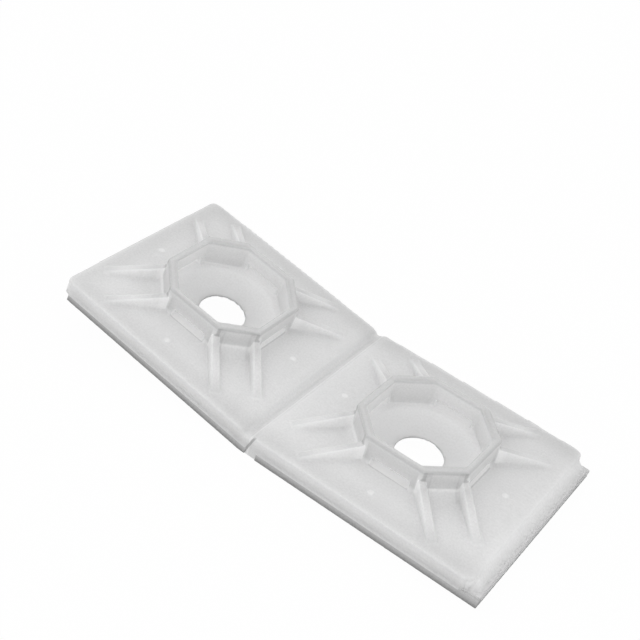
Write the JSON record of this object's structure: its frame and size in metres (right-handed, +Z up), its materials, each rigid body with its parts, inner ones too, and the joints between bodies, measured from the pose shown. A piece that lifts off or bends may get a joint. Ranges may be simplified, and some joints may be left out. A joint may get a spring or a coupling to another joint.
{
  "type": "adhesive cable tie mount",
  "caption": "Translucent nylon strip of square cable tie bases with slotted octagonal collars, ribbed legs, dished screw holes and adhesive foam pads, bent at its break-off seam.",
  "frame": {"origin": "on the resting plane, under the middle of the outline in plan", "axes": "+X along the strip, +Y along the seam away from its torn end, +Z up from the resting plane"},
  "size_m": [0.0604, 0.028, 0.0095],
  "materials": {
    "nylon": "natural translucent nylon, satin as moulded",
    "foam": "matt closed-cell foam tape"
  },
  "bodies": {
    "root": {"mount_base": "nylon", "left_foam_pad": "foam", "right_foam_pad": "foam"}
  },
  "joints": []
}
